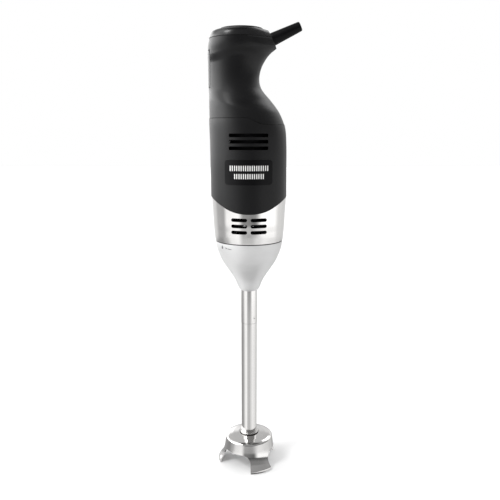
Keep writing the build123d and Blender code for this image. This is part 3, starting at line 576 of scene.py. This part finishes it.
def add_details(materials):
    white = printed_ink("white_print", (0.80, 0.80, 0.79))
    grey = printed_ink("grey_print", (0.10, 0.10, 0.105))
    # Near-black rubber for the seam bands and the collar ring, which stand for painted shade in joints
    # and gaps.
    seam_shade = rubber("seam_shade", (0.0015, 0.0015, 0.0015), 0.6)
    add_marks("label_marks", surface_of("label_plate"), label_shapes(), 0.00006, 0.0001,
              "housing", white)
    add_marks("lock_marks", surface_of("arm_cone"), LOCK_SHAPES, 0.00005, 0.0001,
              "arm", grey)
    handle = surface_of("handle_front_half", "handle_rear_half", "top_cap")
    # Painted shade: a near-black band along the cap seam darkens the joint where shade falls.
    ribbon("cap_seam_shade", handle, CAP_CENTRE_X, lambda x: CAP_SEAM_Z, 0.00040, 0.00003, 0.0012,
           "housing", seam_shade)
    body = surface_of("handle_front_half", "handle_rear_half", "body_shell")
    # Painted shade: a near-black band along the seam between body shell and handle.
    ribbon("grip_seam_shade", body, GRIP_CENTRE_X, grip_seam_height, 0.00040, 0.00004, 0.0012,
           "housing", seam_shade)
    steel = surface_of("steel_housing", "arm_cone", "cone_seal")
    # A near-black band over the cone seam: the seal showing there, darkened further with painted shade.
    ribbon("cone_seal_and_seam_shade", steel, 0.0, lambda x: CONE_SEAM_Z, 0.00042, 0.00004, 0.0006,
           "arm", seam_shade)
    bead_ring("collar_weld", WELD_RADIUS, WELD_Z, 0.00050, 0.10, 46, "arm",
              materials["guard_steel"])
    bead_ring("collar_shadow_gap", COLLAR_GAP_RADIUS, COLLAR_GAP_Z, 0.00042, 0.0, 1, "arm",
              seam_shade)
    dial_marks(white)


# ---- stage, light and camera -------------------------------------------------------------
def make_floor():
    mesh = mesh_from("floor", [(-6, -6, 0), (6, -6, 0), (6, 6, 0), (-6, 6, 0)], [(0, 1, 2, 3)])
    obj = bpy.data.objects.new("floor", mesh)
    bpy.context.collection.objects.link(obj)
    floor = Shader("floor_paint", (0.92, 0.92, 0.92), 0.7)
    floor.set("Specular IOR Level", 0.2)
    mesh.materials.append(floor.mat)
    obj.visible_glossy = False


# Studio as seen by a mirror: azimuth from the camera side in degrees, brightness.
STUDIO = [
    (-180, 0.50), (-160, 0.70), (-134, 0.66), (-116, 0.44), (-90, 0.40), (-74, 1.05), (-36, 1.15),
    (-18, 0.24), (20, 0.16), (44, 1.30), (84, 1.25), (112, 0.74), (150, 0.60), (180, 0.50),
]
# The same above level, where the dark plastics pick it up.
STUDIO_HIGH = [
    (-180, 0.4), (-155, 1.4), (-112, 2.6), (-80, 3.0), (-58, 1.3), (-36, 0.28), (-15, 0.14),
    (45, 0.14), (92, 0.20), (112, 0.46), (150, 0.50), (180, 0.4),
]
# The same well below level, where the tube, the cone and the foot pick it up.
STUDIO_LOW = [
    (-180, 0.36), (-140, 0.34), (-106, 0.30), (-84, 0.50), (-60, 0.95), (-38, 1.02), (-18, 0.56),
    (8, 0.54), (30, 0.78), (55, 0.94), (90, 0.84), (120, 0.66), (150, 0.42), (180, 0.36),
]
# The same high up, over the object.
STUDIO_TOP = [
    (-180, 0.58), (-150, 0.60), (-122, 0.95), (-95, 2.4), (-60, 1.4), (-32, 0.40), (60, 0.34),
    (120, 0.44), (180, 0.58),
]
MIRROR_STRENGTH = 1.42
FILL_STRENGTH = 0.72


def studio_level(g):
    """Brightness of the studio in one direction, as the metal sees it."""
    direction = g.split(g.nodes.new("ShaderNodeTexCoord").outputs["Generated"])
    up = direction["Z"]
    front = g.math("MULTIPLY", direction["Y"], -1.0)
    angle = g.math("ARCTAN2", direction["X"], front)
    turn = g.remap(angle, -math.pi, math.pi, 0.0, 1.0)
    panels = g.ramp(turn, STUDIO)
    raised = g.math("MULTIPLY", g.ramp(turn, STUDIO_HIGH), g.remap(up, -0.05, 0.15, 0.6, 1.8))
    lowered = g.ramp(turn, STUDIO_LOW)

    level = g.blend(g.remap(up, -0.34, -0.20, 1.0, 0.0, True), panels, lowered)
    level = g.blend(g.remap(up, -0.09, -0.03, 0.0, 1.0, True), level, raised)

    # Ceiling: its own profile, and dark overhead.
    level = g.blend(g.remap(up, 0.34, 0.50, 0.0, 1.0, True), level, g.ramp(turn, STUDIO_TOP))
    level = g.blend(g.remap(up, 0.86, 0.95, 0.0, 1.0, True), level, 0.10)

    # Looking straight down there is only the shade under the object.
    level = g.blend(g.remap(up, -0.68, -0.50, 1.0, 0.0, True), level, 0.72)
    return g.blend(g.remap(up, -0.93, -0.84, 1.0, 0.0, True), level, 0.06)


def make_world():
    world = bpy.data.worlds.new("studio")
    bpy.context.scene.world = world
    world.use_nodes = True
    g = Graph(world.node_tree)
    g.nodes.clear()

    def background(strength):
        node = g.nodes.new("ShaderNodeBackground")
        node.inputs["Color"].default_value = WHITE
        node.inputs["Strength"].default_value = strength
        return node

    def choose(factor, first, second):
        node = g.nodes.new("ShaderNodeMixShader")
        g.link(factor, node.inputs["Fac"])
        g.link(first.outputs[0], node.inputs[1])
        g.link(second.outputs[0], node.inputs[2])
        return node

    mirror = background(MIRROR_STRENGTH)
    g.link(studio_level(g), mirror.inputs["Color"])
    path = g.nodes.new("ShaderNodeLightPath")
    by_diffuse = choose(path.outputs["Is Diffuse Ray"], mirror, background(FILL_STRENGTH))
    by_camera = choose(path.outputs["Is Camera Ray"], by_diffuse, background(1.0))
    out = g.nodes.new("ShaderNodeOutputWorld")
    g.link(by_camera.outputs["Shader"], out.inputs["Surface"])


def add_sun(name, azimuth, elevation, strength, size_deg):
    """A broad, distant light; azimuth 0 is the camera side, positive towards +X."""
    data = bpy.data.lights.new(name, "SUN")
    data.energy = strength
    data.angle = math.radians(size_deg)
    obj = bpy.data.objects.new(name, data)
    bpy.context.collection.objects.link(obj)
    a = math.radians(azimuth)
    e = math.radians(elevation)
    source = Vector((math.sin(a) * math.cos(e), -math.cos(a) * math.cos(e), math.sin(e)))
    obj.rotation_mode = "QUATERNION"
    obj.rotation_quaternion = source.to_track_quat("Z", "Y")
    obj.location = source


def make_camera():
    data = bpy.data.cameras.new("camera")
    data.lens = LENS
    data.sensor_width = SENSOR
    data.clip_start = 0.01
    obj = bpy.data.objects.new("camera", data)
    obj.location = (CAMERA_SIDE, -CAMERA_DISTANCE, CAMERA_HEIGHT)
    obj.rotation_euler = (math.radians(90 - CAMERA_PITCH), 0, 0)
    bpy.context.collection.objects.link(obj)
    bpy.context.scene.camera = obj


def main():
    bpy.context.scene.view_settings.view_transform = "Standard"
    materials = make_materials()
    dress_cad_nodes(materials)
    add_details(materials)
    make_floor()
    make_world()
    add_sun("key_left", -55, 50, 1.1, 16)
    add_sun("back_right", 140, 40, 0.5, 30)
    make_camera()


main()
